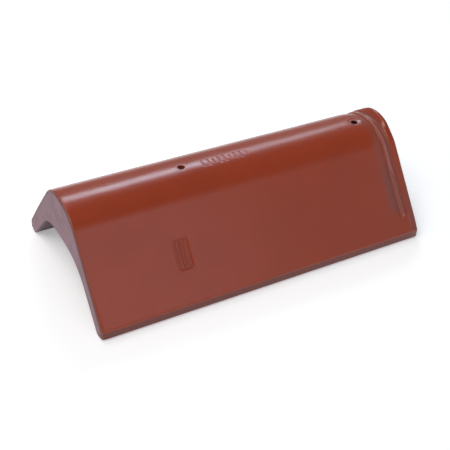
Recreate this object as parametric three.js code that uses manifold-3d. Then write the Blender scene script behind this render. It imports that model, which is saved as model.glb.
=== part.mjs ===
// A ridge tile cast in one piece: a rounded ridge with two sloping sides that stand on their feet.
// Millimetres, +Z up. +X runs along the ridge, from the plain end to the banded end.
// The origin is level with the feet, under the middle of the ridge.

import * as THREE from "three";
import { mergeVertices } from "three/addons/utils/BufferGeometryUtils.js";
import Module from "manifold-3d";

const wasm = await Module();
wasm.setup();

// Overall size
const length = 420;
const width = 220.4;
const ridgeHeight = 115.2;

// Cross-section
const wall = 17;
const crownRadius = 75;
const crownHalfAngle = THREE.MathUtils.degToRad(10.3);
const shoulderRadius = 48;
const footFaceHeight = 12.7;
const footTopRounding = 5;
const footBottomRounding = 3.5;
const footInnerRounding = 5;

// Web across the plain end, with an arched opening under it
const webDepth = 26;
const webDraft = 8;
const archHeight = 62.1;
const archCrownRadius = 200;
const archCrownHalfAngle = THREE.MathUtils.degToRad(6);
const archShoulderRadius = 65;
const archFootStep = 2.5;

// Groove, rib and band around the banded end. The groove deepens towards the rib, whose crest lies a
// little below the surface, with a narrow channel between it and the band. The band is low on the sides
// and climbs over the ridge, where the groove is shallower.
const bandWidth = 10.5;
const bandTopWidth = 8;
const bandRise = 0.8;
const bandRidgeRise = 4.8;
const bandRidgeHalfAngle = THREE.MathUtils.degToRad(36);
const bandRidgeStart = 9;
const bandRidgeFull = 4;
const ribFromEnd = 13.6;
const ribWidth = 4.6;
const ribBelowSurface = 0.2;
const channelDepth = 1.8;
const grooveWidth = 18;
const grooveDepth = 2.2;
const grooveRidgeShare = 0.4;
const grooveWall = 1.4;
const tipAboveFoot = 21;
const tipLength = 4;
const bandedEndRounding = 2.5;
const plainEndRounding = 2;

// Nail holes through the ridge, the banded end's one in a shallow dish
const nailHoleRadius = 4;
const nailHoleFromPlainEnd = 146;
const nailHoleFromBandedEnd = 36;
const dishRadius = 8.5;
const dishDepth = 1;

// Rows of plain strokes pressed into the ridge
const strokeCount = 9;
const strokeWidth = 2.2;
const strokePitch = 7;
const longStroke = 11;
const shortStroke = 6.5;
const shortStrokeEvery = 3;
const strokeDepth = 0.8;
const strokesFromPlainEnd = 172;
const strokesBelowRidge = 3.5;

// Pressed panel with upright bars, low on the near side
const panelLength = 34;
const panelWidth = 14.5;
const panelDepth = 1.8;
const panelBarCount = 2;
const panelBarWidth = 2.2;
const panelBarMargin = 3;
const panelBarBelowSurface = 0.4;
const panelFromPlainEnd = 114;
const panelAboveFoot = 55;

// Facets
const crownSteps = 3;
const shoulderSteps = 8;
const roundingSteps = 3;
const holeSides = 24;
const clearOfSurface = 3;

const plainEnd = -length / 2;
const bandedEnd = length / 2;
const halfWidth = width / 2;

// A half outline from the top down to its foot: a flat-curved crown, a rounder shoulder and a straight leg.
// The leg leaves the shoulder along its tangent and runs through the foot point.
function halfOutline(topHeight, crown, crownAngle, shoulder, footOut, footUp) {
  const centreOut = (crown - shoulder) * Math.sin(crownAngle);
  const centreUp = topHeight - crown + (crown - shoulder) * Math.cos(crownAngle);
  const reach = Math.hypot(footOut - centreOut, centreUp - footUp);
  const fall = Math.atan2(centreUp - footUp, footOut - centreOut);
  const slope = fall + Math.asin(shoulder / reach);
  const points = [];
  for (let step = 0; step <= crownSteps; step += 1) {
    const angle = crownAngle * step / crownSteps;
    const out = crown * Math.sin(angle);
    const up = topHeight - crown + crown * Math.cos(angle);
    points.push(surfacePoint(out, up, angle));
  }
  for (let step = 1; step <= shoulderSteps; step += 1) {
    const angle = crownAngle + (slope - crownAngle) * step / shoulderSteps;
    const out = centreOut + shoulder * Math.sin(angle);
    const up = centreUp + shoulder * Math.cos(angle);
    points.push(surfacePoint(out, up, angle));
  }
  const legLength = Math.hypot(footOut - points.at(-1).out, points.at(-1).up - footUp);
  return { points, slope, legLength };
}

// A point of the outline with the angle of its outward normal from upright
function surfacePoint(out, up, angle) {
  return { out, up, angle };
}

// A corner of the outline rounded by an arc, from one normal angle to the next
function roundedCorner(centreOut, centreUp, radius, fromAngle, toAngle) {
  const points = [];
  for (let step = 0; step <= roundingSteps; step += 1) {
    const angle = fromAngle + (toAngle - fromAngle) * step / roundingSteps;
    const out = centreOut + radius * Math.sin(angle);
    const up = centreUp + radius * Math.cos(angle);
    points.push(surfacePoint(out, up, angle));
  }
  return points;
}

const outer = halfOutline(ridgeHeight, crownRadius, crownHalfAngle, shoulderRadius, halfWidth, footFaceHeight);
const upright = Math.PI / 2;
const down = Math.PI;

// The leg's outer face, with points where the groove and the rib end
function legPoint(alongLeg) {
  const start = outer.points.at(-1);
  const out = start.out + alongLeg * Math.cos(outer.slope);
  const up = start.up - alongLeg * Math.sin(outer.slope);
  return surfacePoint(out, up, outer.slope);
}
const tipEnd = outer.legLength - tipAboveFoot;
const tipStart = tipEnd - tipLength;

// The foot: its top edge is rounded into an upright face, and that into the flat underside
const footTopTurn = upright - outer.slope;
const footTopTangent = footTopRounding * Math.tan(footTopTurn / 2);
const footTop = roundedCorner(
  halfWidth - footTopRounding,
  footFaceHeight - footTopTangent,
  footTopRounding,
  outer.slope,
  upright,
);
const footBottom = roundedCorner(
  halfWidth - footBottomRounding,
  footBottomRounding,
  footBottomRounding,
  upright,
  down,
);
const outerHalf = [...outer.points, legPoint(tipStart), legPoint(tipEnd), ...footTop, ...footBottom];

// Inner face of the shell, and of the arch under the web
const innerFoot = halfWidth + footFaceHeight / Math.tan(outer.slope) - wall / Math.sin(outer.slope);
const shellInner = halfOutline(
  ridgeHeight - wall,
  crownRadius - wall,
  crownHalfAngle,
  shoulderRadius - wall,
  innerFoot,
  0,
);
const archInner = halfOutline(
  archHeight,
  archCrownRadius,
  archCrownHalfAngle,
  archShoulderRadius,
  innerFoot - archFootStep,
  0,
);

// An inner half ends in a rounding between the leg and the flat underside
function innerHalf(outline, footOut) {
  const tangent = footInnerRounding * Math.tan(outline.slope / 2);
  const centreOut = footOut + tangent;
  const rounding = roundedCorner(centreOut, footInnerRounding, footInnerRounding, down + outline.slope, down);
  return [...outline.points, ...rounding];
}
const shellHalf = innerHalf(shellInner, innerFoot);
const archHalf = innerHalf(archInner, innerFoot - archFootStep);

// Rise of the relief over the plain surface, by the distance from the banded end, and the share
// that is reached of the band's extra rise over the ridge.
// A place on the band carries it down to the foot; the groove, the rib and the channel stop at their tips.
const ribEdge = ribFromEnd + ribWidth;
const grooveEdge = ribEdge + grooveWidth;
const ribShoulder = ribWidth * 0.2;
const grooveFill = grooveDepth * (1 - grooveRidgeShare) / bandRidgeRise;

// A place in the groove, by the share of its depth that is reached there
function grooveStation(fromEnd, share) {
  return { fromEnd, rise: -grooveDepth * share, ridgeShare: grooveFill * share };
}

// A place on the band, with the share that is reached there of its climb over the ridge
function bandStation(fromEnd) {
  const climbed = bandRidgeStart - fromEnd;
  const ridgeShare = THREE.MathUtils.smoothstep(climbed, 0, bandRidgeStart - bandRidgeFull);
  return { fromEnd, rise: bandRise, ridgeShare };
}

const reliefStations = [
  grooveStation(grooveEdge, 0),
  grooveStation(ribEdge + grooveWidth * 0.7, 0.12),
  grooveStation(ribEdge + grooveWidth * 0.4, 0.44),
  grooveStation(ribEdge + grooveWall, 1),
  { fromEnd: ribEdge - ribShoulder, rise: -ribBelowSurface, ridgeShare: 0 },
  { fromEnd: ribFromEnd + ribShoulder, rise: -ribBelowSurface, ridgeShare: 0 },
  { fromEnd: ribFromEnd - ribShoulder, rise: -channelDepth, ridgeShare: 0 },
  { fromEnd: bandWidth, rise: -channelDepth, ridgeShare: 0 },
  bandStation(bandTopWidth),
  bandStation((bandTopWidth + bandRidgeFull) / 2),
  bandStation(bandRidgeFull),
  bandStation(bandedEndRounding),
];
const roundingTurn = Math.PI / 4;
const halfRoundingCut = bandedEndRounding * (1 - Math.sin(roundingTurn));
const tipStartIndex = outer.points.length;
const tipEndIndex = tipStartIndex + 1;
const footTopIndex = tipStartIndex + 2;

// How much of the extra rise over the ridge a point has, by the angle of its normal
function ridgeShape(angle) {
  if (angle >= bandRidgeHalfAngle) {
    return 0;
  }
  return Math.cos(upright * angle / bandRidgeHalfAngle) ** 2;
}

// One ring of points around the section at a place along the tile. The relief is carried as far as
// a point of the outer half, and the end's rounding is cut back from all of it.
function ring(x, inner, cutBack = 0, relief = { rise: 0, ridgeShare: 0 }, carriedTo = 0) {
  const farHalf = [];
  for (const [index, point] of outerHalf.entries()) {
    const rise = index < carriedTo ? relief.rise : 0;
    const ridgeRise = bandRidgeRise * relief.ridgeShare * ridgeShape(point.angle);
    const lift = rise + ridgeRise - cutBack;
    const out = point.out + lift * Math.sin(point.angle);
    const up = point.up + lift * Math.cos(point.angle);
    farHalf.push([out, up]);
  }
  for (const point of [...inner].reverse()) {
    farHalf.push([point.out, point.up]);
  }
  const nearHalf = farHalf.slice(1, -1).reverse().map(([out, up]) => [-out, up]);
  return [...farHalf, ...nearHalf].map(([y, z]) => new THREE.Vector3(x, y, z));
}

function reliefRing(relief) {
  const carriedTo = relief.fromEnd < bandWidth ? footTopIndex : tipEndIndex;
  return ring(bandedEnd - relief.fromEnd, shellHalf, 0, relief, carriedTo);
}

const endRelief = reliefStations.at(-1);
const rings = [
  ring(plainEnd, archHalf, plainEndRounding),
  ring(plainEnd + plainEndRounding, archHalf),
  ring(plainEnd + webDepth, archHalf),
  ring(plainEnd + webDepth + webDraft, shellHalf),
  ...reliefStations.map(reliefRing),
  ring(bandedEnd - halfRoundingCut, shellHalf, halfRoundingCut, endRelief, footTopIndex),
  ring(bandedEnd, shellHalf, bandedEndRounding, endRelief, footTopIndex),
];

// A closed skin through the rings, with a flat face at each end
function skinThrough(loops) {
  const around = loops[0].length;
  const positions = loops.flat().flatMap((point) => point.toArray());
  const triangles = [];
  for (let loop = 0; loop < loops.length - 1; loop += 1) {
    for (let step = 0; step < around; step += 1) {
      const next = (step + 1) % around;
      const here = loop * around;
      const there = here + around;
      triangles.push(here + step, there + step, here + next);
      triangles.push(here + next, there + step, there + next);
    }
  }
  const lastLoop = (loops.length - 1) * around;
  const firstFace = THREE.ShapeUtils.triangulateShape(loops[0].map(({ y, z }) => new THREE.Vector2(y, z)), []);
  const lastFace = THREE.ShapeUtils.triangulateShape(loops.at(-1).map(({ y, z }) => new THREE.Vector2(y, z)), []);
  for (const [a, b, c] of firstFace) {
    triangles.push(a, c, b);
  }
  for (const [a, b, c] of lastFace) {
    triangles.push(lastLoop + a, lastLoop + b, lastLoop + c);
  }
  const geometry = new THREE.BufferGeometry();
  geometry.setAttribute("position", new THREE.Float32BufferAttribute(positions, 3));
  geometry.setIndex(triangles);
  return geometry;
}

// Solids for the joins and cuts
function solidOf(geometry) {
  const plain = geometry.clone();
  plain.deleteAttribute("normal");
  plain.deleteAttribute("uv");
  const merged = mergeVertices(plain);
  const vertProperties = Float32Array.from(merged.attributes.position.array);
  const triVerts = Uint32Array.from(merged.index.array);
  return new wasm.Manifold(new wasm.Mesh({ numProp: 3, vertProperties, triVerts }));
}

function geometryOf(solid) {
  const { vertProperties, triVerts } = solid.getMesh();
  const geometry = new THREE.BufferGeometry();
  geometry.setAttribute("position", new THREE.BufferAttribute(vertProperties, 3));
  geometry.setIndex(new THREE.BufferAttribute(triVerts, 1));
  geometry.computeVertexNormals();
  return geometry;
}

// Place on the near side's outer face, by the distance along the surface from the ridge line.
// Its frame has X along the tile, Y up the slope and Z out of the surface.
function nearSurface(x, alongSurface) {
  const crownLength = crownRadius * crownHalfAngle;
  const shoulderLength = shoulderRadius * (outer.slope - crownHalfAngle);
  const centreOut = (crownRadius - shoulderRadius) * Math.sin(crownHalfAngle);
  const centreUp = ridgeHeight - crownRadius + (crownRadius - shoulderRadius) * Math.cos(crownHalfAngle);
  let point = legPoint(alongSurface - crownLength - shoulderLength);
  if (alongSurface < crownLength) {
    const angle = alongSurface / crownRadius;
    const up = ridgeHeight - crownRadius + crownRadius * Math.cos(angle);
    point = surfacePoint(crownRadius * Math.sin(angle), up, angle);
  } else if (alongSurface < crownLength + shoulderLength) {
    const angle = crownHalfAngle + (alongSurface - crownLength) / shoulderRadius;
    const out = centreOut + shoulderRadius * Math.sin(angle);
    point = surfacePoint(out, centreUp + shoulderRadius * Math.cos(angle), angle);
  }
  const place = new THREE.Matrix4().makeRotationX(point.angle);
  place.setPosition(x, -point.out, point.up);
  return place;
}
const nearSideLength = crownRadius * crownHalfAngle
  + shoulderRadius * (outer.slope - crownHalfAngle)
  + outer.legLength;

// A block let into the surface from a depth up to clear of it, or up to a given level below it
function blockInSurface(x, alongSurface, blockWidth, blockLength, depth, top) {
  const block = new THREE.BoxGeometry(blockWidth, blockLength, depth + top);
  block.translate(0, 0, (top - depth) / 2);
  block.applyMatrix4(nearSurface(x, alongSurface));
  return solidOf(block);
}

// Nail holes go straight down through the ridge
function nailHole(x) {
  const hole = new THREE.CylinderGeometry(nailHoleRadius, nailHoleRadius, ridgeHeight, holeSides);
  hole.rotateX(Math.PI / 2);
  hole.translate(x, 0, ridgeHeight);
  return solidOf(hole);
}

function dish(x) {
  const rise = clearOfSurface;
  const topRadius = dishRadius + (dishRadius - nailHoleRadius) * rise / dishDepth;
  const bowl = new THREE.CylinderGeometry(topRadius, nailHoleRadius, dishDepth + rise, holeSides);
  bowl.rotateX(Math.PI / 2);
  bowl.translate(x, 0, ridgeHeight + (rise - dishDepth) / 2);
  return solidOf(bowl);
}

// Strokes stand side by side along the ridge, with a short one every so many
function strokes() {
  const cuts = [];
  for (let index = 0; index < strokeCount; index += 1) {
    const isShort = (index + 1) % shortStrokeEvery === 0;
    const strokeLength = isShort ? shortStroke : longStroke;
    const x = plainEnd + strokesFromPlainEnd + index * strokePitch;
    const cut = blockInSurface(x, strokesBelowRidge, strokeWidth, strokeLength, strokeDepth, clearOfSurface);
    cuts.push(cut);
  }
  return cuts;
}

// The pressed panel, and the bars that stay standing in it
const panelX = plainEnd + panelFromPlainEnd;
const panelAlong = nearSideLength - panelAboveFoot;
function pressedPanel() {
  return blockInSurface(panelX, panelAlong, panelWidth, panelLength, panelDepth, clearOfSurface);
}

function panelBars() {
  const bars = [];
  const gap = panelWidth / (panelBarCount + 1);
  const barLength = panelLength - 2 * panelBarMargin;
  const barBottom = panelDepth + clearOfSurface;
  for (let index = 1; index <= panelBarCount; index += 1) {
    const x = panelX - panelWidth / 2 + gap * index;
    bars.push(blockInSurface(x, panelAlong, panelBarWidth, barLength, barBottom, -panelBarBelowSurface));
  }
  return bars;
}

function ridgeTileGeometry() {
  let tile = solidOf(skinThrough(rings));
  const bandedHoleX = bandedEnd - nailHoleFromBandedEnd;
  const cuts = [
    nailHole(plainEnd + nailHoleFromPlainEnd),
    nailHole(bandedHoleX),
    dish(bandedHoleX),
    ...strokes(),
    pressedPanel(),
  ];
  for (const cut of cuts) {
    tile = tile.subtract(cut);
  }
  for (const bar of panelBars()) {
    tile = tile.add(bar);
  }
  return geometryOf(tile);
}

const coat = new THREE.MeshStandardMaterial({ color: 0x87402f, roughness: 0.4, metalness: 0 });
const ridgeTile = new THREE.Mesh(ridgeTileGeometry(), coat);
ridgeTile.name = "ridge_tile";

const part = new THREE.Group();
part.add(ridgeTile);

export default part;
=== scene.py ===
import math

import bmesh
import bpy
import numpy as np
from mathutils import Matrix, Vector, noise


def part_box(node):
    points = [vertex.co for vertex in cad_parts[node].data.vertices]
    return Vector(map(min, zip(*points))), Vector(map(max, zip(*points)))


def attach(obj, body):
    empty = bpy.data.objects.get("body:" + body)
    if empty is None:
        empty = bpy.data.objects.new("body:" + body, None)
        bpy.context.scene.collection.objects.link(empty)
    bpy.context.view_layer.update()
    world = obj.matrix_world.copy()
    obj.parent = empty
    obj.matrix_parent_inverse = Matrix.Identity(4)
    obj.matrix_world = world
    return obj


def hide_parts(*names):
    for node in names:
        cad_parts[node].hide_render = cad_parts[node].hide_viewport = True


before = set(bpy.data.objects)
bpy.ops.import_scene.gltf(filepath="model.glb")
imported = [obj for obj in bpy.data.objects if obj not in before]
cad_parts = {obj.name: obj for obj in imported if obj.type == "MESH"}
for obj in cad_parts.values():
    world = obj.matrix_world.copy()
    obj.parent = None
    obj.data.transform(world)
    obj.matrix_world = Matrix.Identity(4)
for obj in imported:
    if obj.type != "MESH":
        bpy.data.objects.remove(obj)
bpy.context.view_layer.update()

MM = 0.001

# The tile's place and overall size come from the frame
LOW, HIGH = [np.array(corner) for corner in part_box("ridge_tile")]
PLAIN_END = LOW[0]
BANDED_END = HIGH[0]
HALF_WIDTH = HIGH[1]

# Cross-section
BAND_RISE = 0.8 * MM
BAND_RIDGE_RISE = 4.8 * MM
BAND_RIDGE_HALF_ANGLE = math.radians(36)
RIDGE_HEIGHT = HIGH[2] - BAND_RISE - BAND_RIDGE_RISE
WALL = 17 * MM
CROWN_RADIUS = 75 * MM
CROWN_HALF_ANGLE = math.radians(10.3)
SHOULDER_RADIUS = 48 * MM
FOOT_FACE_HEIGHT = 12.7 * MM
FOOT_TOP_ROUNDING = 5 * MM
FOOT_BOTTOM_ROUNDING = 3.5 * MM
FOOT_INNER_ROUNDING = 5 * MM

# Web across the plain end, with the arched opening under it
WEB_DEPTH = 26 * MM
WEB_DRAFT = 8 * MM
ARCH_HEIGHT = 62.1 * MM
ARCH_CROWN_RADIUS = 200 * MM
ARCH_CROWN_HALF_ANGLE = math.radians(6)
ARCH_SHOULDER_RADIUS = 65 * MM
ARCH_FOOT_STEP = 2.5 * MM

# Groove, rib and band around the banded end. The groove deepens towards the rib, whose crest lies a little
# below the tile's surface, with a narrow channel between it and the band. Below the shoulder the rib is two
# thin beads with a seam between them. The band is low on the sides. Over the ridge it climbs to its full
# height, and the groove is shallower.
BAND_WIDTH = 10.5 * MM
BAND_RIDGE_START = 9 * MM
BAND_RIDGE_FULL = 4 * MM
BAND_RAMP = 2.5 * MM
CHANNEL_DEPTH = 1.8 * MM
RIB_TO_END = 13.6 * MM
RIB_WIDTH = 4.6 * MM
RIB_HEIGHT = 1.4 * MM
RIB_TOP_SHARE = 0.7
RIB_FOOT_SHARE = 1.2
RIB_CENTRE = RIB_TO_END + RIB_WIDTH / 2
RIB_EDGE = RIB_CENTRE + RIB_WIDTH / 2
BEAD_RADIUS = 2.1 * MM
BEAD_WIDTH = 2.8 * MM
BEAD_RISE = 0.5 * MM
SEAM_WIDTH = 2.0 * MM
SEAM_DEPTH = 0.9 * MM
SEAM_START = 72 * MM
GROOVE_WIDTH = 18 * MM
GROOVE_DEPTH = 2.2 * MM
GROOVE_CURVE = 1.9
GROOVE_RIDGE_SHARE = 0.4
GROOVE_WALL = 1.4 * MM
GROOVE_FADE = 12 * MM
TIP_ABOVE_FOOT = 21 * MM

# Rounded arrises. The plain end's one is worn unevenly, and grows towards the feet.
BANDED_END_ROUNDING = 2.5 * MM
PLAIN_END_ROUNDING = 2 * MM
PLAIN_END_ROUNDING_GROWTH = 0.9
GROWTH_START_SHARE = 0.6
WEAR_SIZE = 7 * MM
WEAR_AMOUNT = 0.3
WEAR_SEED = 4.0
INNER_EDGE_ROUNDING = 0.7 * MM

# Nail holes, the banded end's one in a shallow dish
NAIL_HOLE_RADIUS = 4 * MM
NAIL_HOLE_SIDES = 48
NAIL_HOLE_X = (PLAIN_END + 146 * MM, BANDED_END - 36 * MM)
NAIL_HOLE_RIM = 1.1 * MM
NAIL_HOLE_RIM_DROP = 0.8 * NAIL_HOLE_RIM
CUTTER_LENGTH = 4 * WALL
DISH_RADIUS = 8.5 * MM
DISH_DEPTH = 1.0 * MM

# Plain strokes pressed into the ridge
STROKE_COUNT = 9
STROKE_WIDTH = 2.2 * MM
STROKE_PITCH = 7 * MM
LONG_STROKE = 11 * MM
SHORT_STROKE = 6.5 * MM
SHORT_STROKE_EVERY = 3
STROKE_DEPTH = 0.8 * MM
FIRST_STROKE_X = PLAIN_END + 172 * MM
STROKES_BELOW_RIDGE = 3.5 * MM

# Pressed panel with upright bars, low on the near side
PANEL_LENGTH = 34 * MM
PANEL_WIDTH = 14.5 * MM
PANEL_DEPTH = 1.8 * MM
PANEL_BAR_COUNT = 2
PANEL_BAR_WIDTH = 2.2 * MM
PANEL_BAR_MARGIN = 3 * MM
PANEL_BAR_BELOW_SURFACE = 0.4 * MM
PANEL_X = PLAIN_END + 114 * MM
PANEL_ABOVE_FOOT = 55 * MM
PRESSED_EDGE = 0.7 * MM

# Slight unevenness of the cast faces
CASTING_WAVE = 0.25 * MM
CASTING_WAVE_SIZE = 45 * MM

# Spacing of the mesh
FINE = 0.6 * MM
FAIRLY_FINE = FINE * 1.5
MEDIUM = 2.0 * MM
COARSE = 5.0 * MM
INNER_ROWS = 34
ROUNDING_STEPS = 6
QUAD_SIDES = 4
END_INSET = 1.4 * MM
SAME_PLACE = 1e-9
SHARP_ANGLE = math.radians(50)

# Values that the mesh carries for its material: how far past the coat's edge a point lies, and the
# painted light and shade on the coat or the concrete there
BOUNDARY = "past_coat"
BOUNDARY_LIMIT = 20 * MM
HOLE_COAT_DEPTH = 12 * MM
ON_HOLE_WALL = 1.02
TONE = "painted_light_tone"

# Tones towards painted shade, which is 1 here, and deeper painted shade, which is 2
DARK_GROOVE_TOP = 0.4
DARK_CHANNEL = 0.6
DARK_RAMP_SHARES = (0.5, 0.8)
DARK_BAND = 0.6
DARK_ARRIS = 1.2
DARK_ARRIS_SHARE = 0.4
DARK_INSIDE = 1.0
INSIDE_FADE = 4 * MM
HOLE_DARK = 2.0
HOLE_DARK_DEPTH = 1 * MM

# Tones towards a paler painted highlight, which is 1
PAINTED_HIGHLIGHT_RIB = 0.6
PAINTED_HIGHLIGHT_BEAD = 0.4
INNER_BEAD_SHARE = 0.5
HOLE_RING = 0.8
HOLE_RING_ENDS = (6 * MM, 7.5 * MM)


def smooth(start, end, value):
    """0 before start, 1 after end, and a smooth rise between them. start may be the larger one."""
    share = np.clip((value - start) / (end - start), 0, 1)
    return share * share * (3 - 2 * share)


# Outlines: a path is a list of arcs and lines, sampled by the distance along it

def arc(centre, radius, start_angle, end_angle):
    """Angles are those of the normal, from upright. A radius below 0 bends towards the normal."""
    return {"centre": centre, "radius": radius, "angles": (start_angle, end_angle),
            "length": abs(radius * (end_angle - start_angle))}


def line(start, end, angle):
    """A straight piece, whose normal has the same angle all along."""
    return {"start": start, "end": end, "angles": (angle, angle),
            "length": math.hypot(end[0] - start[0], end[1] - start[1])}


def along(path, distance):
    """Places out from the middle and up, and the normal's angle, at distances along a path."""
    distance = np.asarray(distance, dtype=float)
    out = np.zeros_like(distance)
    up = np.zeros_like(distance)
    angle = np.zeros_like(distance)
    passed = 0.0
    for index, piece in enumerate(path):
        last = index == len(path) - 1
        before_end = distance < passed + piece["length"] - SAME_PLACE
        here = (distance >= passed - SAME_PLACE) & (last | before_end)
        share = np.clip((distance[here] - passed) / piece["length"], 0, 1)
        first, second = piece["angles"]
        turned = first + (second - first) * share
        if "radius" in piece:
            out[here] = piece["centre"][0] + piece["radius"] * np.sin(turned)
            up[here] = piece["centre"][1] + piece["radius"] * np.cos(turned)
        else:
            out[here] = piece["start"][0] + (piece["end"][0] - piece["start"][0]) * share
            up[here] = piece["start"][1] + (piece["end"][1] - piece["start"][1]) * share
        angle[here] = turned
        passed += piece["length"]
    return out, up, angle


def path_length(path):
    return sum(piece["length"] for piece in path)


def half_outline(top, crown, crown_angle, shoulder, foot):
    """Crown, shoulder and a leg along its tangent to the foot point, and the leg's slope."""
    centre = ((crown - shoulder) * math.sin(crown_angle),
              top - crown + (crown - shoulder) * math.cos(crown_angle))
    reach = math.hypot(foot[0] - centre[0], centre[1] - foot[1])
    fall = math.atan2(centre[1] - foot[1], foot[0] - centre[0])
    slope = fall + math.asin(shoulder / reach)
    leg_start = (centre[0] + shoulder * math.sin(slope), centre[1] + shoulder * math.cos(slope))
    path = [
        arc((0, top - crown), crown, 0, crown_angle),
        arc(centre, shoulder, crown_angle, slope),
        line(leg_start, foot, slope),
    ]
    return path, slope


def shortened(piece, amount):
    """A line with its end cut off."""
    share = 1 - amount / piece["length"]
    start, end = piece["start"], piece["end"]
    cut_end = (start[0] + (end[0] - start[0]) * share, start[1] + (end[1] - start[1]) * share)
    return line(start, cut_end, piece["angles"][0])


def outer_path():
    """The outside of one half, from the ridge down the leg, round the foot to its flat underside."""
    path, slope = half_outline(RIDGE_HEIGHT, CROWN_RADIUS, CROWN_HALF_ANGLE, SHOULDER_RADIUS,
                               (HALF_WIDTH, FOOT_FACE_HEIGHT))
    upright = math.pi / 2
    tangent = FOOT_TOP_ROUNDING * math.tan((upright - slope) / 2)
    face_top = FOOT_FACE_HEIGHT - tangent
    leg = shortened(path[-1], tangent)
    rounding = arc((HALF_WIDTH - FOOT_TOP_ROUNDING, face_top), FOOT_TOP_ROUNDING, slope, upright)
    face = line((HALF_WIDTH, face_top), (HALF_WIDTH, FOOT_BOTTOM_ROUNDING), upright)
    bottom_centre = (HALF_WIDTH - FOOT_BOTTOM_ROUNDING, FOOT_BOTTOM_ROUNDING)
    bottom = arc(bottom_centre, FOOT_BOTTOM_ROUNDING, upright, math.pi)
    return path[:-1] + [leg, rounding, face, bottom], slope


OUTER, SLOPE = outer_path()
LEG_END = path_length(OUTER[:3])
SIDE_LENGTH = LEG_END + FOOT_TOP_ROUNDING * math.tan((math.pi / 2 - SLOPE) / 2)
TIP_END = SIDE_LENGTH - TIP_ABOVE_FOOT
PANEL_ALONG = SIDE_LENGTH - PANEL_ABOVE_FOOT


def inner_path(top, crown, crown_angle, shoulder, foot_out):
    """One half's inside, from under the ridge to the flat underside, with normals into the concrete."""
    path, slope = half_outline(top, crown, crown_angle, shoulder, (foot_out, 0))
    tangent = FOOT_INNER_ROUNDING * math.tan(slope / 2)
    leg = shortened(path[-1], tangent)
    centre = (foot_out + tangent, FOOT_INNER_ROUNDING)
    rounding = arc(centre, -FOOT_INNER_ROUNDING, slope, 0)
    return path[:-1] + [leg, rounding]


INNER_FOOT = HALF_WIDTH + FOOT_FACE_HEIGHT / math.tan(SLOPE) - WALL / math.sin(SLOPE)
SHELL = inner_path(RIDGE_HEIGHT - WALL, CROWN_RADIUS - WALL, CROWN_HALF_ANGLE, SHOULDER_RADIUS - WALL,
                   INNER_FOOT)
ARCH = inner_path(ARCH_HEIGHT, ARCH_CROWN_RADIUS, ARCH_CROWN_HALF_ANGLE, ARCH_SHOULDER_RADIUS,
                  INNER_FOOT - ARCH_FOOT_STEP)


# Relief on the outer face, as a rise over the plain outline

def groove_share(from_end, distance):
    """How far across the groove a place lies, from 0 at its open edge to 1 at the foot of its wall.

    The second value is 1 in the groove, and falls to 0 up its wall and towards its tip.
    """
    share = np.clip((RIB_EDGE + GROOVE_WIDTH - from_end) / (GROOVE_WIDTH - GROOVE_WALL), 0, 1)
    wall = smooth(RIB_EDGE, RIB_EDGE + GROOVE_WALL, from_end)
    return share, wall * smooth(TIP_END, TIP_END - GROOVE_FADE, distance)


def ridge_share(angle):
    """1 on the ridge, and 0 where the surface leans past the band's raised part."""
    return np.cos(math.pi / 2 * np.clip(angle / BAND_RIDGE_HALF_ANGLE, 0, 1)) ** 2


def band_share(from_end):
    """1 on top of the band and 0 beside it."""
    return smooth(BAND_WIDTH, BAND_WIDTH - BAND_RAMP, from_end)


def channel_share(from_end, distance):
    """1 under the rib and beside the band, 0 elsewhere."""
    across = (1 - band_share(from_end)) * smooth(RIB_EDGE + GROOVE_WALL, RIB_EDGE, from_end)
    return across * smooth(TIP_END + RIB_WIDTH / 2, TIP_END - GROOVE_FADE, distance)


def from_rib_line(from_end, distance):
    """The distance from the rib's middle line, and past its tip from the line's end."""
    past_tip = np.maximum(distance - (TIP_END - RIB_WIDTH / 2), 0)
    return np.hypot(from_end - RIB_CENTRE, past_tip)


def rib_share(from_rib):
    """1 on top of the rib and 0 beside it, by the distance from its middle line."""
    return smooth(RIB_FOOT_SHARE * RIB_WIDTH / 2, RIB_TOP_SHARE * RIB_WIDTH / 2, from_rib)


def bead_share(from_rib):
    """1 on the crest of either bead and 0 beside it."""
    return smooth(BEAD_WIDTH / 2, 0, np.abs(from_rib - BEAD_RADIUS))


def parted_share(distance):
    """0 where the rib is whole, and 1 further down, where it is two beads."""
    return smooth(SEAM_START, SEAM_START + GROOVE_FADE, distance)


def seam_share(from_rib, distance):
    """1 along the seam between the beads and 0 beside it."""
    return smooth(SEAM_WIDTH / 2, 0, from_rib) * parted_share(distance)


def band_relief(x, distance, angle):
    """Groove, rib, channel and band, which run down both sides."""
    from_end = BANDED_END - x
    share, inside = groove_share(from_end, distance)
    ridge = ridge_share(angle)
    groove = share ** GROOVE_CURVE * inside * (1 - (1 - GROOVE_RIDGE_SHARE) * ridge)
    channel = channel_share(from_end, distance)
    from_rib = from_rib_line(from_end, distance)
    rib = rib_share(from_rib)
    seam = seam_share(from_rib, distance)
    bead = bead_share(from_rib) * np.where(from_end < RIB_CENTRE, parted_share(distance), 1)
    band = band_share(from_end) * BAND_RISE * smooth(LEG_END, LEG_END - GROOVE_FADE, distance)
    climb = smooth(BAND_RIDGE_START, BAND_RIDGE_FULL, from_end)
    raised = band + BAND_RIDGE_RISE * ridge * climb + RIB_HEIGHT * rib + BEAD_RISE * bead
    return raised - SEAM_DEPTH * seam - CHANNEL_DEPTH * channel - GROOVE_DEPTH * groove


def pressed_box(x, distance, centre_x, centre_along, box_width, box_length):
    """1 inside a rectangle on the surface, 0 outside, with a soft edge."""
    soft = PRESSED_EDGE / 2
    half_width = box_width / 2
    half_length = box_length / 2
    across = smooth(half_width + soft, half_width - soft, np.abs(x - centre_x))
    down = smooth(half_length + soft, half_length - soft, np.abs(distance - centre_along))
    return across * down


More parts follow.
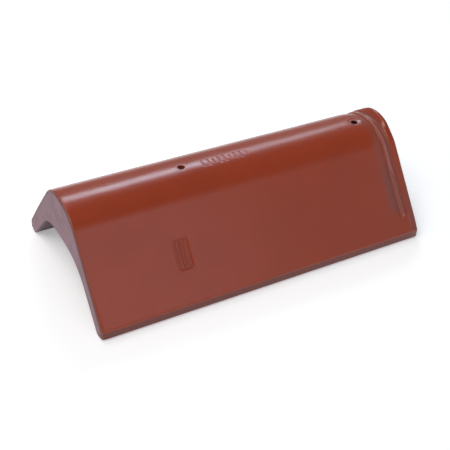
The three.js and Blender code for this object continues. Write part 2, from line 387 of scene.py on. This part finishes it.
def panel_relief(x, distance):
    """The pressed panel, with its upright bars standing almost to the surface."""
    pressed = pressed_box(x, distance, PANEL_X, PANEL_ALONG, PANEL_WIDTH, PANEL_LENGTH)
    bars = np.zeros_like(pressed)
    gap = PANEL_WIDTH / (PANEL_BAR_COUNT + 1)
    bar_length = PANEL_LENGTH - 2 * PANEL_BAR_MARGIN
    for index in range(PANEL_BAR_COUNT):
        bar_x = PANEL_X - PANEL_WIDTH / 2 + gap * (index + 1)
        bars = np.maximum(bars, pressed_box(x, distance, bar_x, PANEL_ALONG, PANEL_BAR_WIDTH, bar_length))
    return -PANEL_DEPTH * pressed + (PANEL_DEPTH - PANEL_BAR_BELOW_SURFACE) * bars


def stroke_relief(x, distance):
    """The row of strokes, of which every third is a short one."""
    pressed = np.zeros(np.broadcast(x, distance).shape)
    for index in range(STROKE_COUNT):
        is_short = (index + 1) % SHORT_STROKE_EVERY == 0
        length = SHORT_STROKE if is_short else LONG_STROKE
        stroke_x = FIRST_STROKE_X + index * STROKE_PITCH
        stroke = pressed_box(x, distance, stroke_x, STROKES_BELOW_RIDGE, STROKE_WIDTH, length)
        pressed = np.maximum(pressed, stroke)
    return -STROKE_DEPTH * pressed


def hole_relief(x, out):
    """The dish around the banded end's nail hole, and the soft rims of both holes."""
    rise = np.zeros(np.broadcast(x, out).shape)
    for hole_x in NAIL_HOLE_X:
        from_axis = np.hypot(x - hole_x, out)
        rim = smooth(NAIL_HOLE_RADIUS + NAIL_HOLE_RIM, NAIL_HOLE_RADIUS - NAIL_HOLE_RIM / 2, from_axis)
        rise = rise - NAIL_HOLE_RIM_DROP * rim
    from_axis = np.hypot(x - NAIL_HOLE_X[1], out)
    return rise - DISH_DEPTH * smooth(DISH_RADIUS, NAIL_HOLE_RADIUS + NAIL_HOLE_RIM, from_axis)


def casting_wave(x, out, up):
    """The slight unevenness of a cast face, always inwards."""
    wave = np.zeros(np.broadcast(x, out).shape)
    flat_x, flat_out, flat_up = [np.broadcast_to(values, wave.shape).ravel() for values in (x, out, up)]
    heights = [noise.noise(Vector(place) / CASTING_WAVE_SIZE) for place in zip(flat_x, flat_out, flat_up)]
    return -CASTING_WAVE * (0.5 + 0.5 * np.array(heights).reshape(wave.shape))


# Spacing of the mesh: fine where there is relief, wide elsewhere

def spaced(start, end, zones, widest):
    """Places from start to end. zones are (start, end, spacing), and the rest is spaced at the widest."""
    marks = {start, end}
    for zone_start, zone_end, _ in zones:
        marks.update(min(max(mark, start), end) for mark in (zone_start, zone_end))
    marks = sorted(marks)
    places = [start]
    for low, high in zip(marks, marks[1:]):
        middle = (low + high) / 2
        spacing = min([size for first, last, size in zones if first <= middle <= last] + [widest])
        steps = max(1, math.ceil((high - low) / spacing))
        places += [low + (high - low) * step / steps for step in range(1, steps + 1)]
    return np.array(places)


def stations():
    """Places along the tile, with the rounded arrises' own steps at both ends."""
    turns = [math.pi / 2 * step / ROUNDING_STEPS for step in range(ROUNDING_STEPS)]
    plain = [PLAIN_END + PLAIN_END_ROUNDING * (1 - math.cos(turn)) for turn in turns]
    banded = [BANDED_END - BANDED_END_ROUNDING * (1 - math.cos(turn)) for turn in reversed(turns)]
    last_stroke_x = FIRST_STROKE_X + (STROKE_COUNT - 1) * STROKE_PITCH
    relief_start = BANDED_END - RIB_EDGE - GROOVE_WIDTH
    hole_reach = NAIL_HOLE_RADIUS + 2 * NAIL_HOLE_RIM
    zones = [
        (FIRST_STROKE_X - STROKE_WIDTH, last_stroke_x + STROKE_WIDTH, FINE),
        (PANEL_X - PANEL_WIDTH / 2 - PRESSED_EDGE, PANEL_X + PANEL_WIDTH / 2 + PRESSED_EDGE, FINE),
        (NAIL_HOLE_X[0] - hole_reach, NAIL_HOLE_X[0] + hole_reach, FINE),
        (NAIL_HOLE_X[1] - DISH_RADIUS, relief_start, FINE),
        (relief_start, BANDED_END - BANDED_END_ROUNDING, FINE),
        (PLAIN_END + WEB_DEPTH, PLAIN_END + WEB_DEPTH + WEB_DRAFT, MEDIUM),
    ]
    middle = spaced(PLAIN_END + PLAIN_END_ROUNDING, BANDED_END - BANDED_END_ROUNDING, zones, COARSE)
    return np.concatenate([[PLAIN_END], plain, middle, banded, [BANDED_END]])


def rows(is_near):
    """Distances down the outer face from the ridge line, on the near or the far side."""
    curve_end = path_length(OUTER[:2])
    total = path_length(OUTER)
    zones = [
        (0, DISH_RADIUS, FINE),
        (DISH_RADIUS, curve_end, MEDIUM),
        (TIP_END - RIB_WIDTH, TIP_END + RIB_WIDTH / 2, FINE),
        (LEG_END - MEDIUM, total, FAIRLY_FINE),
    ]
    if is_near:
        strokes_end = STROKES_BELOW_RIDGE + LONG_STROKE / 2 + PRESSED_EDGE
        panel_reach = PANEL_LENGTH / 2 + PRESSED_EDGE
        zones.append((0, strokes_end, FINE))
        zones.append((PANEL_ALONG - panel_reach, PANEL_ALONG + panel_reach, FAIRLY_FINE))
    return spaced(0, total, zones, COARSE)


def arris_cut(from_end, radius):
    """How far a rounded arris lies below the surface, by the distance from the end."""
    inside = np.clip(1 - from_end / radius, 0, 1)
    return radius * (1 - np.sqrt(1 - inside ** 2))


def worn(place):
    """How far the plain end's arris is worn at places down the section: 1 is the usual rounding."""
    flat = np.ravel(place)
    heights = [noise.noise(Vector((value / WEAR_SIZE, WEAR_SEED, 0))) for value in flat]
    return 1 + WEAR_AMOUNT * np.array(heights).reshape(np.shape(place))


def outer_half(x, inset, side):
    """Points of the outer face on one side: side is -1 near the camera and 1 on the far side."""
    distance = rows(side < 0)
    out, up, angle = along(OUTER, distance)
    signed = -distance * side
    rise = band_relief(x, distance, angle) + stroke_relief(x, signed) + hole_relief(x, out)
    if side < 0:
        rise = rise + panel_relief(x, distance)
    on_foot = smooth(LEG_END, LEG_END + FOOT_TOP_ROUNDING, distance)
    rise = rise + casting_wave(x, side * out, up) * (1 - on_foot)
    growth_share = smooth(GROWTH_START_SHARE * SIDE_LENGTH, SIDE_LENGTH, distance)
    growth = PLAIN_END_ROUNDING_GROWTH * growth_share
    rounding = PLAIN_END_ROUNDING * (worn(side * distance) + growth)
    rise = rise - arris_cut(x - PLAIN_END, rounding) - arris_cut(BANDED_END - x, BANDED_END_ROUNDING)
    rise = rise - inset
    places = np.zeros((len(x), len(distance), 3))
    places[..., 0] = x
    places[..., 1] = side * (out + rise * np.sin(angle))
    places[..., 2] = up + rise * np.cos(angle)
    return places


def inner_half(x, inset, side):
    """Points of the inner face on one side, from under the ridge to the foot."""
    share = np.linspace(0, 1, INNER_ROWS)
    shell = along(SHELL, share * path_length(SHELL))
    arch = along(ARCH, share * path_length(ARCH))
    web = smooth(PLAIN_END + WEB_DEPTH + WEB_DRAFT, PLAIN_END + WEB_DEPTH, x)
    out, up, angle = [first + (second - first) * web for first, second in zip(shell, arch)]
    cut = arris_cut(x - PLAIN_END, INNER_EDGE_ROUNDING) + arris_cut(BANDED_END - x, INNER_EDGE_ROUNDING)
    cut = cut + inset
    places = np.zeros((len(x), INNER_ROWS, 3))
    places[..., 0] = x
    places[..., 1] = side * (out + cut * np.sin(angle))
    places[..., 2] = up + cut * np.cos(angle)
    return places


# The coat's boundary: a distance, below 0 on the coated faces and above 0 on the bare ones

def past_coat(x, inset):
    """How far the rings lie past the edge of the coat, measured round the nearer end's rounded arris."""
    def before_arris(from_end, radius):
        """The distance along the surface to the edge of the end face."""
        turn = np.arccos(np.clip(1 - from_end / radius, -1, 1))
        return np.where(from_end < radius, radius * turn, radius * math.pi / 2 + from_end - radius)

    from_plain = before_arris(x - PLAIN_END, PLAIN_END_ROUNDING)
    from_banded = before_arris(BANDED_END - x, BANDED_END_ROUNDING)
    return inset - np.minimum(from_plain, from_banded)


def outer_boundary(x, inset, side):
    """How far the outer points of one half lie past the coat's edge, at the ends or under the foot."""
    distance = rows(side < 0)
    coat_end = path_length(OUTER) - FOOT_BOTTOM_ROUNDING
    return np.maximum(past_coat(x, inset), distance - coat_end)


def groove_painted_shade(from_end, distance):
    """Painted shade in the groove, deeper towards its wall and further down."""
    share, inside = groove_share(from_end, distance)
    low_down = smooth(SEAM_START - GROOVE_FADE, SEAM_START + GROOVE_FADE, distance)
    return share * inside * (DARK_GROOVE_TOP + (1 - DARK_GROOVE_TOP) * low_down)


def band_painted_shade(from_end, distance, angle):
    """Painted shade on the slope up to the band over the ridge, and on the band low on the sides."""
    on_band = band_share(from_end)
    lower, upper = DARK_RAMP_SHARES
    on_ramp = smooth(0, lower, on_band) * smooth(1, upper, on_band)
    low_down = smooth(SEAM_START, LEG_END, distance)
    return np.maximum(DARK_CHANNEL * ridge_share(angle) * on_ramp, DARK_BAND * on_band * low_down)


def painted_light_tone(x, side):
    """Painted light on one half: to -1 painted shade, as in the groove, to -2 deeper painted shade, and to
    1 a paler painted highlight.
    """
    distance = rows(side < 0)
    out, _, angle = along(OUTER, distance)
    from_end = BANDED_END - x
    from_rib = from_rib_line(from_end, distance)
    rib = rib_share(from_rib)
    seam = seam_share(from_rib, distance)
    dark = np.maximum(groove_painted_shade(from_end, distance), band_painted_shade(from_end, distance, angle))
    # Painted shade on the plain end's rounded arris
    arris = smooth(PLAIN_END_ROUNDING, DARK_ARRIS_SHARE * PLAIN_END_ROUNDING, x - PLAIN_END)
    dark = np.maximum(dark, DARK_ARRIS * arris)
    # Painted shade in the channel beside the rib and along the seam between the beads
    dark = np.maximum(dark, DARK_CHANNEL * channel_share(from_end, distance) * (1 - rib))
    dark = np.maximum(dark, seam)
    # Painted highlights on the rib and on the beads' crests
    bead = bead_share(from_rib) * np.where(from_end < RIB_CENTRE, 1, INNER_BEAD_SHARE)
    painted_highlight = (PAINTED_HIGHLIGHT_RIB * rib + PAINTED_HIGHLIGHT_BEAD * bead) * (1 - seam)
    # A paler ring of painted highlight round each nail hole
    for hole_x, ring_end in zip(NAIL_HOLE_X, HOLE_RING_ENDS):
        from_axis = np.hypot(x - hole_x, out)
        painted_highlight = np.maximum(painted_highlight, HOLE_RING * smooth(ring_end, ring_end - NAIL_HOLE_RIM, from_axis))
    return painted_highlight - dark * (1 - painted_highlight)


def ring_values(x, inset):
    """The boundary and the painted light and shade of every point of the rings. The flat end faces have
    none.
    """
    bare = np.full((len(x), 2 * INNER_ROWS - 1), BOUNDARY_LIMIT)
    limits = [bare, outer_boundary(x, inset, 1)[:, ::-1], outer_boundary(x, inset, -1)[:, 1:]]
    limits = np.clip(np.concatenate(limits, axis=1), -BOUNDARY_LIMIT, BOUNDARY_LIMIT)
    from_ends = np.minimum(x - PLAIN_END, BANDED_END - x)
    # Painted shade on the inner faces, fading in from both ends
    inside = np.broadcast_to(-DARK_INSIDE * smooth(0, INSIDE_FADE, from_ends), bare.shape)
    tones = np.concatenate([inside, painted_light_tone(x, 1)[:, ::-1], painted_light_tone(x, -1)[:, 1:]], axis=1)
    tones[[0, -1]] = 0
    return limits, tones


def tile_mesh():
    """The whole tile as rings around the section, closed by flat faces at both ends."""
    x = stations()[:, None]
    inset = np.zeros_like(x)
    inset[0] = END_INSET
    inset[-1] = END_INSET
    halves = [
        inner_half(x, inset, -1)[:, ::-1],
        inner_half(x, inset, 1)[:, 1:],
        outer_half(x, inset, 1)[:, ::-1],
        outer_half(x, inset, -1)[:, 1:],
    ]
    rings = np.concatenate(halves, axis=1)
    limits, tones = ring_values(x, inset)

    around = rings.shape[1]
    here = np.arange(around)
    there = (here + 1) % around
    faces = []
    for ring in range(len(rings) - 1):
        low = ring * around
        high = low + around
        faces += np.stack([low + here, low + there, high + there, high + here], axis=1).tolist()
    faces.append(here[::-1].tolist())
    faces.append((here + (len(rings) - 1) * around).tolist())

    mesh = bpy.data.meshes.new("tile")
    mesh.from_pydata(rings.reshape(-1, 3).tolist(), [], faces)
    for name, values in ((BOUNDARY, limits / MM), (TONE, tones)):
        attribute = mesh.attributes.new(name, "FLOAT", "POINT")
        attribute.data.foreach_set("value", values.ravel())
    return mesh


def add_object(name, mesh):
    """A new object in the scene, with the given mesh."""
    made = bpy.data.objects.new(name, mesh)
    bpy.context.scene.collection.objects.link(made)
    return made


def hole_cutter():
    """Upright cylinders at both nail holes, as one mesh."""
    build = bmesh.new()
    for hole_x in NAIL_HOLE_X:
        place = Matrix.Translation((hole_x, 0, RIDGE_HEIGHT))
        bmesh.ops.create_cone(build, cap_ends=True, segments=NAIL_HOLE_SIDES, radius1=NAIL_HOLE_RADIUS,
                              radius2=NAIL_HOLE_RADIUS, depth=CUTTER_LENGTH, matrix=place)
    mesh = bpy.data.meshes.new("hole_cutter")
    build.to_mesh(mesh)
    build.free()
    return add_object("hole_cutter", mesh)


def mark_hole_walls(mesh):
    """The coat runs down the nail holes, with painted shade below the rim, and the rest of their walls is
    bare.
    """
    count = len(mesh.vertices)
    places = np.zeros(count * 3)
    mesh.vertices.foreach_get("co", places)
    places = places.reshape(-1, 3)
    limits = np.zeros(count)
    tones = np.zeros(count)
    mesh.attributes[BOUNDARY].data.foreach_get("value", limits)
    mesh.attributes[TONE].data.foreach_get("value", tones)
    for hole_x in NAIL_HOLE_X:
        on_wall = np.hypot(places[:, 0] - hole_x, places[:, 1]) < NAIL_HOLE_RADIUS * ON_HOLE_WALL
        depth = RIDGE_HEIGHT - places[on_wall, 2]
        limits[on_wall] = (depth - HOLE_COAT_DEPTH) / MM
        tones[on_wall] = np.where(depth > HOLE_DARK_DEPTH, -HOLE_DARK, tones[on_wall])
    mesh.attributes[BOUNDARY].data.foreach_set("value", limits)
    mesh.attributes[TONE].data.foreach_set("value", tones)


def add_tile():
    """The tile with its nail holes cut, as one mesh."""
    tile = add_object("tile", tile_mesh())
    cutter = hole_cutter()
    cut = tile.modifiers.new("nail_holes", "BOOLEAN")
    cut.object = cutter
    cut.operation = "DIFFERENCE"
    cut.solver = "EXACT"
    bpy.context.view_layer.update()
    finished = bpy.data.meshes.new_from_object(tile.evaluated_get(bpy.context.evaluated_depsgraph_get()))
    tile.modifiers.clear()
    tile.data = finished
    bpy.data.objects.remove(cutter)
    mark_hole_walls(finished)
    build = bmesh.new()
    build.from_mesh(finished)
    many_sided = [face for face in build.faces if len(face.verts) > QUAD_SIDES]
    bmesh.ops.triangulate(build, faces=many_sided)
    build.to_mesh(finished)
    build.free()
    finished.shade_smooth()
    finished.set_sharp_from_angle(angle=SHARP_ANGLE)
    return tile


# Materials

# A mix node's sockets by their places: the factor and the two colours, and the resulting colour
MIX_INPUTS = (0, 6, 7)
MIX_RESULT = 2


def add_node(tree, kind, inputs=None, **settings):
    """A node with its inputs set to values, or linked where the value is another node's socket."""
    made = tree.nodes.new(kind)
    for name, value in settings.items():
        setattr(made, name, value)
    for name, value in (inputs or {}).items():
        if isinstance(value, bpy.types.NodeSocket):
            tree.links.new(value, made.inputs[name])
        else:
            made.inputs[name].default_value = value
    return made


def noise_value(tree, vector, size, detail=3.0, roughness=0.5, shift=0.0):
    """Noise from about 0.3 to 0.7, with features of the given size."""
    place = add_node(tree, "ShaderNodeMapping", {"Vector": vector, "Location": (shift, shift, shift)})
    made = add_node(tree, "ShaderNodeTexNoise", {
        "Vector": place.outputs["Vector"], "Scale": 1 / size, "Detail": detail, "Roughness": roughness})
    return made.outputs["Fac"]


def ramp(tree, value, low, high, to_low=0.0, to_high=1.0):
    """Maps low..high to to_low..to_high with a smooth step."""
    made = add_node(tree, "ShaderNodeMapRange", {
        "Value": value, "From Min": low, "From Max": high, "To Min": to_low, "To Max": to_high},
        interpolation_type="SMOOTHSTEP")
    return made.outputs["Result"]


def maths(tree, operation, first, second):
    """The result of one operation on two values, each a number or another node's socket."""
    made = add_node(tree, "ShaderNodeMath", operation=operation)
    for socket, value in zip(made.inputs, (first, second)):
        if isinstance(value, bpy.types.NodeSocket):
            tree.links.new(value, socket)
        else:
            socket.default_value = value
    return made.outputs[0]


def mix_colour(tree, factor, first, second):
    """The first colour where the factor is 0, and the second one where it is 1."""
    made = tree.nodes.new("ShaderNodeMix")
    made.data_type = "RGBA"
    for index, value in zip(MIX_INPUTS, (factor, first, second)):
        if isinstance(value, bpy.types.NodeSocket):
            tree.links.new(value, made.inputs[index])
        else:
            made.inputs[index].default_value = value
    return made.outputs[MIX_RESULT]


COAT_RED = (0.318, 0.0445, 0.0158, 1)
COAT_DEEP = (0.298, 0.042, 0.0158, 1)
# Painted shade on the foot face
COAT_PAINTED_FOOT_SHADE = (0.145, 0.022, 0.013, 1)
COAT_SPECK = (0.12, 0.022, 0.014, 1)
# Painted shade, light and deep, and a paler painted highlight, set by the mesh's tone
COAT_PAINTED_SHADE = (0.20, 0.062, 0.046, 1)
COAT_PAINTED_DEEP_SHADE = (0.055, 0.010, 0.008, 1)
COAT_PAINTED_HIGHLIGHT = (0.36, 0.160, 0.142, 1)
COAT_ROUGHNESS = 0.22
PAINTED_SHADE_ROUGHNESS = 0.42
CONCRETE = (0.325, 0.193, 0.226, 1)
CONCRETE_DARK = (0.25, 0.160, 0.182, 1)
CONCRETE_GRAIN = (0.38, 0.285, 0.30, 1)
# Painted shade on the bare concrete inside the tile and down the nail holes
CONCRETE_PAINTED_SHADE = (0.135, 0.092, 0.103, 1)
CONCRETE_ROUGHNESS = 0.88

# The coat's edge wanders by up to this many millimetres, and fades out over a range of them
EDGE_WANDER = 0.5
EDGE_WANDER_SIZE = 3.5 * MM
EDGE_FADE = (0.1, 0.45)

# Painted shade on the foot face near the ground
FOOT_SHADE_BELOW = 12.2 * MM
FOOT_SHADE_FADE = 2 * MM

# Patterns: the size of their features, the range of noise over which they set in, and their strength
COAT_TONE_SIZE = 70 * MM
COAT_TONE_RANGE = (0.35, 0.65)
SPECK_SIZE = 1.6 * MM
SPECK_RANGE = (0.66, 0.74)
SPECK_STRENGTH = 0.6
CLOUD_SIZE = 22 * MM
CLOUD_RANGE = (0.35, 0.68)
GRAIN_SIZE = 1.1 * MM
GRAIN_RANGE = (0.55, 0.7)
GRAIN_STRENGTH = 0.5
PORE_SIZE = 2.6 * MM
PORE_RANGE = (0.3, 0.22)
PORE_STRENGTH = 0.8
SHEEN_SIZE = 30 * MM
SHEEN_RANGE = (0.3, 0.7)
SHEEN_CHANGE = (-0.015, 0.02)

# Fine relief, with heights in millimetres
SAND_SIZE = 1.5 * MM
SAND_HEIGHT = 0.10
OPEN_GRAIN_SIZE = 0.9 * MM
OPEN_GRAIN_HEIGHT = 0.5
PORE_DEPTH = 0.3


def coat_colour(tree, place, toned, painted_shade):
    """Broad tones, painted shade near the ground, small darker specks, and the painted light and shade that
    the mesh carries.
    """
    tone = ramp(tree, noise_value(tree, place, COAT_TONE_SIZE, detail=4.0), *COAT_TONE_RANGE)
    coat = mix_colour(tree, tone, COAT_RED, COAT_DEEP)
    # Painted shade on the foot face near the ground
    height_up = add_node(tree, "ShaderNodeSeparateXYZ", {"Vector": place}).outputs["Z"]
    on_foot = ramp(tree, height_up, FOOT_SHADE_BELOW, FOOT_SHADE_BELOW - FOOT_SHADE_FADE)
    coat = mix_colour(tree, on_foot, coat, COAT_PAINTED_FOOT_SHADE)
    speck_noise = noise_value(tree, place, SPECK_SIZE, detail=2.0, shift=2.0)
    coat = mix_colour(tree, ramp(tree, speck_noise, *SPECK_RANGE, 0.0, SPECK_STRENGTH), coat, COAT_SPECK)
    # Painted shade from the mesh's tone, light then deep, and then its painted highlight
    coat = mix_colour(tree, painted_shade, coat, COAT_PAINTED_SHADE)
    coat = mix_colour(tree, maths(tree, "SUBTRACT", painted_shade, 1.0), coat, COAT_PAINTED_DEEP_SHADE)
    return mix_colour(tree, toned, coat, COAT_PAINTED_HIGHLIGHT)


def concrete_colour(tree, place, pores, painted_shade):
    """Clouds, sand grains and pores, and painted shade inside the tile and down the nail holes."""
    cloud_noise = noise_value(tree, place, CLOUD_SIZE, detail=6.0, roughness=0.6, shift=3.0)
    concrete = mix_colour(tree, ramp(tree, cloud_noise, *CLOUD_RANGE), CONCRETE, CONCRETE_DARK)
    grain_noise = noise_value(tree, place, GRAIN_SIZE, detail=2.0, shift=4.0)
    grains = ramp(tree, grain_noise, *GRAIN_RANGE, 0.0, GRAIN_STRENGTH)
    concrete = mix_colour(tree, grains, concrete, CONCRETE_GRAIN)
    concrete = mix_colour(tree, pores, concrete, CONCRETE_DARK)
    return mix_colour(tree, painted_shade, concrete, CONCRETE_PAINTED_SHADE)


def surface_roughness(tree, place, bare, painted_shade):
    """A satin coat, rougher where shade is painted, and dull concrete."""
    sheen_noise = noise_value(tree, place, SHEEN_SIZE, detail=5.0, shift=6.0)
    sheen = ramp(tree, sheen_noise, *SHEEN_RANGE, *SHEEN_CHANGE)
    dulled = ramp(tree, painted_shade, 0.0, 1.0, COAT_ROUGHNESS, PAINTED_SHADE_ROUGHNESS)
    coat_roughness = maths(tree, "ADD", sheen, dulled)
    rough_step = maths(tree, "MULTIPLY", bare, CONCRETE_ROUGHNESS - COAT_ROUGHNESS)
    return maths(tree, "ADD", coat_roughness, rough_step)


def fine_relief(tree, place, bare, pores):
    """Sand under the coat, and an open grain with pores on the concrete."""
    sand = noise_value(tree, place, SAND_SIZE, detail=3.0, roughness=0.6, shift=7.0)
    sand_height = maths(tree, "MULTIPLY", sand, SAND_HEIGHT)
    open_grain = noise_value(tree, place, OPEN_GRAIN_SIZE, detail=4.0, roughness=0.7, shift=8.0)
    open_height = maths(tree, "MULTIPLY", open_grain, maths(tree, "MULTIPLY", bare, OPEN_GRAIN_HEIGHT))
    pore_depth = maths(tree, "MULTIPLY", maths(tree, "MULTIPLY", pores, bare), PORE_DEPTH)
    height = maths(tree, "SUBTRACT", maths(tree, "ADD", sand_height, open_height), pore_depth)
    bump = add_node(tree, "ShaderNodeBump", {"Height": height, "Distance": MM, "Strength": 1.0})
    return bump.outputs["Normal"]


def coated_concrete():
    """Red satin coat over bare pinkish-grey concrete, parted at the mesh's own boundary value."""
    material = bpy.data.materials.new("coated_concrete")
    material.use_nodes = True
    tree = material.node_tree
    tree.nodes.clear()
    place = add_node(tree, "ShaderNodeTexCoord").outputs["Object"]
    boundary = add_node(tree, "ShaderNodeAttribute", attribute_name=BOUNDARY).outputs["Fac"]
    toned = add_node(tree, "ShaderNodeAttribute", attribute_name=TONE).outputs["Fac"]
    # Painted shade: the mesh's tone below 0, turned positive
    painted_shade = maths(tree, "MULTIPLY", toned, -1.0)

    wander = maths(tree, "SUBTRACT", noise_value(tree, place, EDGE_WANDER_SIZE, shift=1.0), 0.5)
    wandering = maths(tree, "ADD", boundary, maths(tree, "MULTIPLY", wander, 2 * EDGE_WANDER))
    bare = ramp(tree, wandering, *EDGE_FADE)
    pore_noise = noise_value(tree, place, PORE_SIZE, detail=1.0, shift=5.0)
    pores = ramp(tree, pore_noise, *PORE_RANGE, 0.0, PORE_STRENGTH)

    coat = coat_colour(tree, place, toned, painted_shade)
    concrete = concrete_colour(tree, place, pores, painted_shade)
    shader = add_node(tree, "ShaderNodeBsdfPrincipled", {
        "Base Color": mix_colour(tree, bare, coat, concrete),
        "Roughness": surface_roughness(tree, place, bare, painted_shade),
        "Normal": fine_relief(tree, place, bare, pores)})
    output = tree.nodes.new("ShaderNodeOutputMaterial")
    tree.links.new(shader.outputs["BSDF"], output.inputs["Surface"])
    return material


# Surroundings

FLOOR_SIZE = 12.0
FLOOR_DROP = 0.2 * MM
FLOOR_COLOUR = (0.88, 0.88, 0.88, 1)
FLOOR_ROUGHNESS = 0.9
FLOOR_GLOW = 0.35


def add_floor():
    """A plain pale floor just under the feet."""
    build = bmesh.new()
    bmesh.ops.create_grid(build, x_segments=1, y_segments=1, size=FLOOR_SIZE / 2)
    mesh = bpy.data.meshes.new("floor")
    build.to_mesh(mesh)
    build.free()
    floor = add_object("floor", mesh)
    floor.location.z = -FLOOR_DROP
    material = bpy.data.materials.new("pale_floor")
    material.use_nodes = True
    shader = material.node_tree.nodes["Principled BSDF"]
    shader.inputs["Base Color"].default_value = FLOOR_COLOUR
    shader.inputs["Roughness"].default_value = FLOOR_ROUGHNESS
    shader.inputs["Emission Color"].default_value = FLOOR_COLOUR
    shader.inputs["Emission Strength"].default_value = FLOOR_GLOW
    mesh.materials.append(material)
    return floor


CAMERA_PLACE = (-0.4678, -0.7787, 0.7156)
CAMERA_ELEVATION = math.radians(37.812)
CAMERA_AZIMUTH = math.radians(-30.91)
CAMERA_ROLL = math.radians(3.61)
CAMERA_LENS = 75.22
CAMERA_SENSOR = 36.0
CAMERA_CLIP_START = 0.01


def add_camera():
    """The photograph's view, as fitted to the tile's outline."""
    data = bpy.data.cameras.new("camera")
    data.lens = CAMERA_LENS
    data.sensor_width = CAMERA_SENSOR
    data.clip_start = CAMERA_CLIP_START
    camera = bpy.data.objects.new("camera", data)
    bpy.context.scene.collection.objects.link(camera)
    turn = Matrix.Rotation(CAMERA_AZIMUTH, 4, "Z")
    tip = Matrix.Rotation(math.pi / 2 - CAMERA_ELEVATION, 4, "X")
    roll = Matrix.Rotation(CAMERA_ROLL, 4, "Z")
    camera.matrix_world = Matrix.Translation(CAMERA_PLACE) @ turn @ tip @ roll
    bpy.context.scene.camera = camera


TILE_CENTRE = Vector((0, 0, RIDGE_HEIGHT / 2))
COOL = (0.75, 0.90, 1.06)
NEUTRAL = (1.0, 0.98, 0.96)
LIGHT_DISTANCE = 2.4


def add_light(name, azimuth, elevation, size, power, colour, distance=LIGHT_DISTANCE, roll=0, shift=0):
    """A soft rectangular light that faces the tile. Azimuth is turned from +Y towards +X.

    roll turns the rectangle in its own plane, and shift then moves it along its first side.
    """
    data = bpy.data.lights.new(name, "AREA")
    data.shape = "RECTANGLE"
    data.size, data.size_y = size
    data.energy = power
    data.color = colour
    light = bpy.data.objects.new(name, data)
    bpy.context.scene.collection.objects.link(light)
    azimuth = math.radians(azimuth)
    elevation = math.radians(elevation)
    level = math.cos(elevation)
    direction = Vector((math.sin(azimuth) * level, math.cos(azimuth) * level, math.sin(elevation)))
    turn = direction.to_track_quat("Z", "Y").to_matrix() @ Matrix.Rotation(math.radians(roll), 3, "Z")
    light.location = TILE_CENTRE + direction * distance + turn @ Vector((shift, 0, 0))
    light.rotation_euler = turn.to_euler()
    light.visible_camera = False


def add_lights():
    """Two lights from above, two narrow strips that shine along the ridge, and weak panels in front."""
    add_light("key", azimuth=-107, elevation=62, distance=3.5, size=(2.0, 2.0), power=58, colour=NEUTRAL)
    add_light("back_top", azimuth=-20, elevation=60, size=(1.0, 1.0), power=10, colour=NEUTRAL)
    strip = {"azimuth": 24, "elevation": 40.3, "colour": COOL, "roll": 25}
    add_light("back_strip", size=(1.4, 0.26), power=7.2, shift=-0.1, **strip)
    add_light("back_strip_left", distance=2.3, size=(0.75, 0.26), power=4.6, shift=0.12, **strip)
    add_light("front_panel", azimuth=172, elevation=33, size=(1.6, 1.2), power=4.2, colour=COOL)
    add_light("right_panel", azimuth=118, elevation=20, size=(2.0, 1.2), power=1.6, colour=COOL)


WORLD_PALE = (0.95, 0.97, 1.0, 1)
WORLD_DIM = (0.22, 0.22, 0.23, 1)
WORLD_DIMS_OVER = (0.45, 0.8)
WORLD_STRENGTH = 0.4


def add_world():
    """Pale round the horizon and dim overhead, by how far a direction points up."""
    world = bpy.data.worlds.new("studio")
    world.use_nodes = True
    tree = world.node_tree
    tree.nodes.clear()
    direction = add_node(tree, "ShaderNodeTexCoord").outputs["Generated"]
    parts = add_node(tree, "ShaderNodeSeparateXYZ", {"Vector": direction})
    overhead = ramp(tree, parts.outputs["Z"], *WORLD_DIMS_OVER)
    colour = mix_colour(tree, overhead, WORLD_PALE, WORLD_DIM)
    background = add_node(tree, "ShaderNodeBackground", {"Color": colour, "Strength": WORLD_STRENGTH})
    output = tree.nodes.new("ShaderNodeOutputWorld")
    tree.links.new(background.outputs["Background"], output.inputs["Surface"])
    bpy.context.scene.world = world


def add_everything():
    """The surroundings, and the tile with its material and its place in the table."""
    bpy.context.scene.view_settings.view_transform = "Standard"
    add_camera()
    add_lights()
    add_world()
    add_floor()
    tile = add_tile()
    tile.data.materials.clear()
    tile.data.materials.append(coated_concrete())
    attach(tile, "root")
    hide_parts("ridge_tile")


add_everything()
